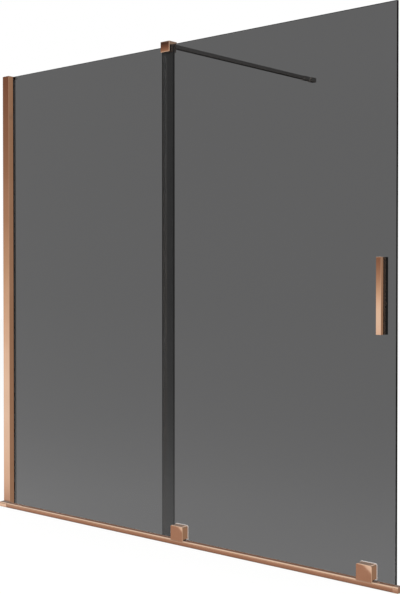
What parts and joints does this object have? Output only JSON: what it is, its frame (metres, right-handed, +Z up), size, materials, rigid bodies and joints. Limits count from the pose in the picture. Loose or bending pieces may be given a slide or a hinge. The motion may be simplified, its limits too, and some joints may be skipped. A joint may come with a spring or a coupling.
{
  "type": "sliding bath screen",
  "caption": "Framed bath screen of smoked glass: a fixed pane on a wall post and a pane that rolls along a rail on the rim, with a bar handle, top bracket and stabiliser arm.",
  "frame": {"origin": "on the wall at the bath rim, in the fixed pane's mid-plane", "axes": "+X along the bath away from the wall, -Y towards the room, +Z up"},
  "size_m": [1.6, 0.8038, 1.511],
  "materials": {
    "rose_aluminium": "satin rose-gold anodised",
    "rose_steel": "satin rose-gold plated",
    "mill_aluminium": "mill",
    "steel": "plain",
    "bearing_steel": "ground",
    "smoked_glass": "polished, grey tinted",
    "black_rubber": "matt",
    "clear_vinyl": "clear",
    "nylon": "moulded",
    "foam_tape": "foam"
  },
  "bodies": {
    "fixed_screen": {"glass_profile": "rose_aluminium", "profile_top_cap": "rose_aluminium", "bottom_rail": "rose_aluminium", "rail_end_cap_left": "rose_aluminium", "rail_end_cap_right": "rose_aluminium", "stabiliser_arm": "rose_aluminium", "bracket_body": "rose_steel", "arm_end_fitting": "rose_steel", "arm_wall_block": "rose_steel", "profile_screw_caps": "rose_steel", "wall_channel": "mill_aluminium", "profile_lock_screws": "steel", "rail_stop_screws": "steel", "bracket_clamp_screws": "steel", "bracket_pressure_plate": "steel", "arm_pivot_pin": "steel", "arm_wall_plate": "steel", "arm_grub_screws": "steel", "fixed_glass": "smoked_glass", "front_glazing_gasket": "black_rubber", "rear_glazing_gasket": "black_rubber", "bracket_glass_pads": "black_rubber", "fixed_glass_sill": "clear_vinyl", "glass_setting_blocks": "nylon", "bracket_guide_liner": "nylon", "rail_stop_left": "nylon", "rail_stop_right": "nylon", "rail_bonding_tape": "foam_tape"},
    "sliding_screen": {"sliding_glass": "smoked_glass", "overlap_seal": "clear_vinyl", "bottom_drip_seal": "clear_vinyl", "handle_outer": "rose_steel", "handle_inner": "rose_steel", "handle_studs": "steel", "handle_bushes": "nylon", "handle_gaskets": "black_rubber", "carriage_cover_left": "rose_steel", "carriage_cover_right": "rose_steel", "carriage_backplate_left": "rose_steel", "carriage_backplate_right": "rose_steel", "carriage_chassis_left": "nylon", "carriage_chassis_right": "nylon", "carriage_bolts": "steel", "carriage_bushes": "nylon", "carriage_gaskets": "black_rubber", "wheel_axles": "steel", "axle_spacers": "steel", "bearing_inner_rings": "bearing_steel", "bearing_balls": "bearing_steel"},
    "left_carriage_left_wheel": {"left_carriage_left_wheel": "nylon", "left_carriage_left_bearing_outer_ring": "bearing_steel"},
    "left_carriage_right_wheel": {"left_carriage_right_wheel": "nylon", "left_carriage_right_bearing_outer_ring": "bearing_steel"},
    "right_carriage_left_wheel": {"right_carriage_left_wheel": "nylon", "right_carriage_left_bearing_outer_ring": "bearing_steel"},
    "right_carriage_right_wheel": {"right_carriage_right_wheel": "nylon", "right_carriage_right_bearing_outer_ring": "bearing_steel"}
  },
  "joints": [
    {"name": "panel_slide", "type": "slide", "parent": "fixed_screen", "child": "sliding_screen", "axis": [-1, 0, 0], "range_m": [0, 0.715]},
    {"name": "left_carriage_left_roll", "type": "hinge", "parent": "sliding_screen", "child": "left_carriage_left_wheel", "pos_m": [0.831, -0.035, 0.02015], "axis": [0, 1, 0], "continuous": true},
    {"name": "left_carriage_right_roll", "type": "hinge", "parent": "sliding_screen", "child": "left_carriage_right_wheel", "pos_m": [0.854, -0.035, 0.02015], "axis": [0, 1, 0], "continuous": true},
    {"name": "right_carriage_left_roll", "type": "hinge", "parent": "sliding_screen", "child": "right_carriage_left_wheel", "pos_m": [1.4865, -0.035, 0.02015], "axis": [0, 1, 0], "continuous": true},
    {"name": "right_carriage_right_roll", "type": "hinge", "parent": "sliding_screen", "child": "right_carriage_right_wheel", "pos_m": [1.5095, -0.035, 0.02015], "axis": [0, 1, 0], "continuous": true}
  ],
  "couplings": [
    {"joint": "left_carriage_left_roll", "follows": "panel_slide", "rad_per_m": -111.11},
    {"joint": "left_carriage_right_roll", "follows": "panel_slide", "rad_per_m": -111.11},
    {"joint": "right_carriage_left_roll", "follows": "panel_slide", "rad_per_m": -111.11},
    {"joint": "right_carriage_right_roll", "follows": "panel_slide", "rad_per_m": -111.11}
  ]
}
